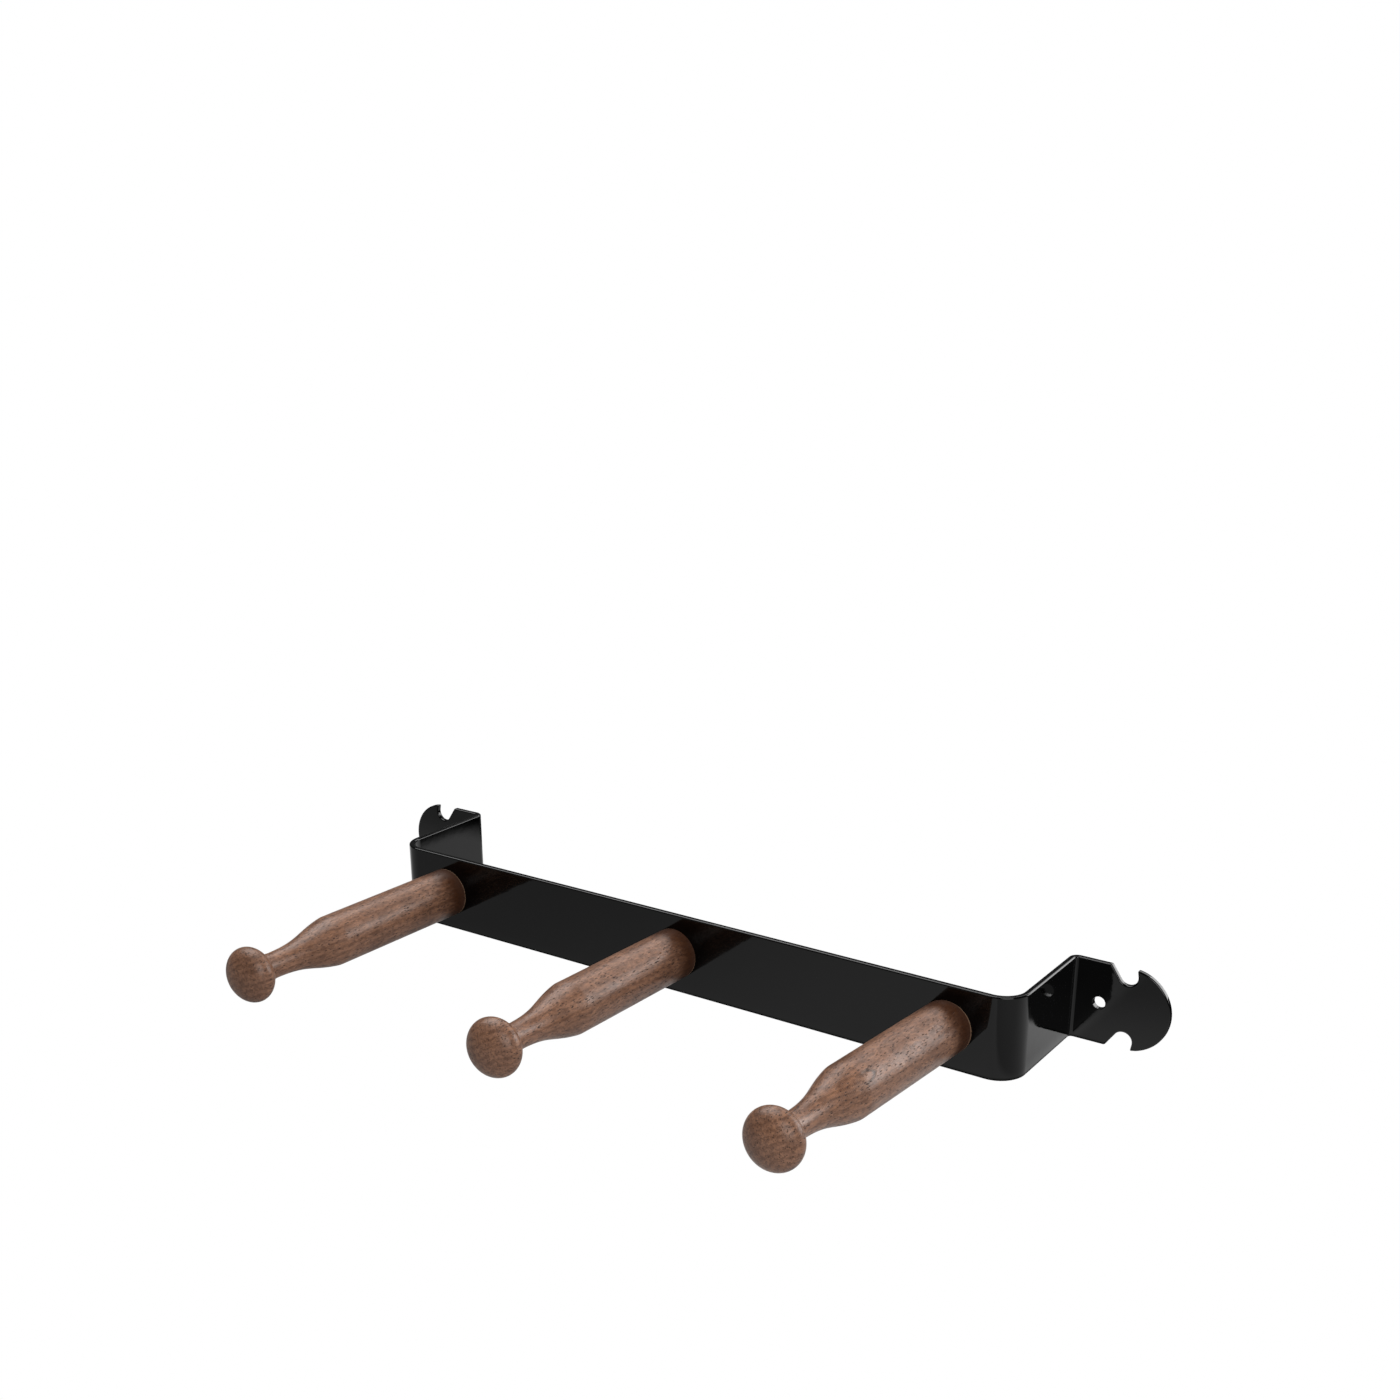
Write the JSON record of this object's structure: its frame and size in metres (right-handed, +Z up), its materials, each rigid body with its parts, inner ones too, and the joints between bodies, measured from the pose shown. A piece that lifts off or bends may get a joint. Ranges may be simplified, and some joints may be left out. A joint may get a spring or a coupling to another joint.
{
  "type": "wall peg rail",
  "caption": "Bent flat-bar wall rail in black gloss paint, with turned wooden pegs for hanging straps, cables and instruments; hooked round ends carry the wall screw holes.",
  "frame": {"origin": "middle of the wall plane, at the rail's mid-height and half-way between the two end plates", "axes": "+Y into the wall, +X along the rail to the right as seen from the room, +Z up; the pegs point along -Y"},
  "size_m": [0.451, 0.2103, 0.04],
  "materials": {
    "rail_paint": "black gloss, thick coat with rounded edges",
    "peg_wood": "turned dark walnut-brown hardwood, satin",
    "insert_brass": "plain",
    "hardware_steel": "bright zinc plated"
  },
  "bodies": {
    "root": {"rail": "rail_paint", "peg_left": "peg_wood", "insert_left": "insert_brass", "washer_left": "hardware_steel", "screw_left": "hardware_steel", "peg_middle": "peg_wood", "insert_middle": "insert_brass", "washer_middle": "hardware_steel", "screw_middle": "hardware_steel", "peg_right": "peg_wood", "insert_right": "insert_brass", "washer_right": "hardware_steel", "screw_right": "hardware_steel"}
  },
  "joints": []
}
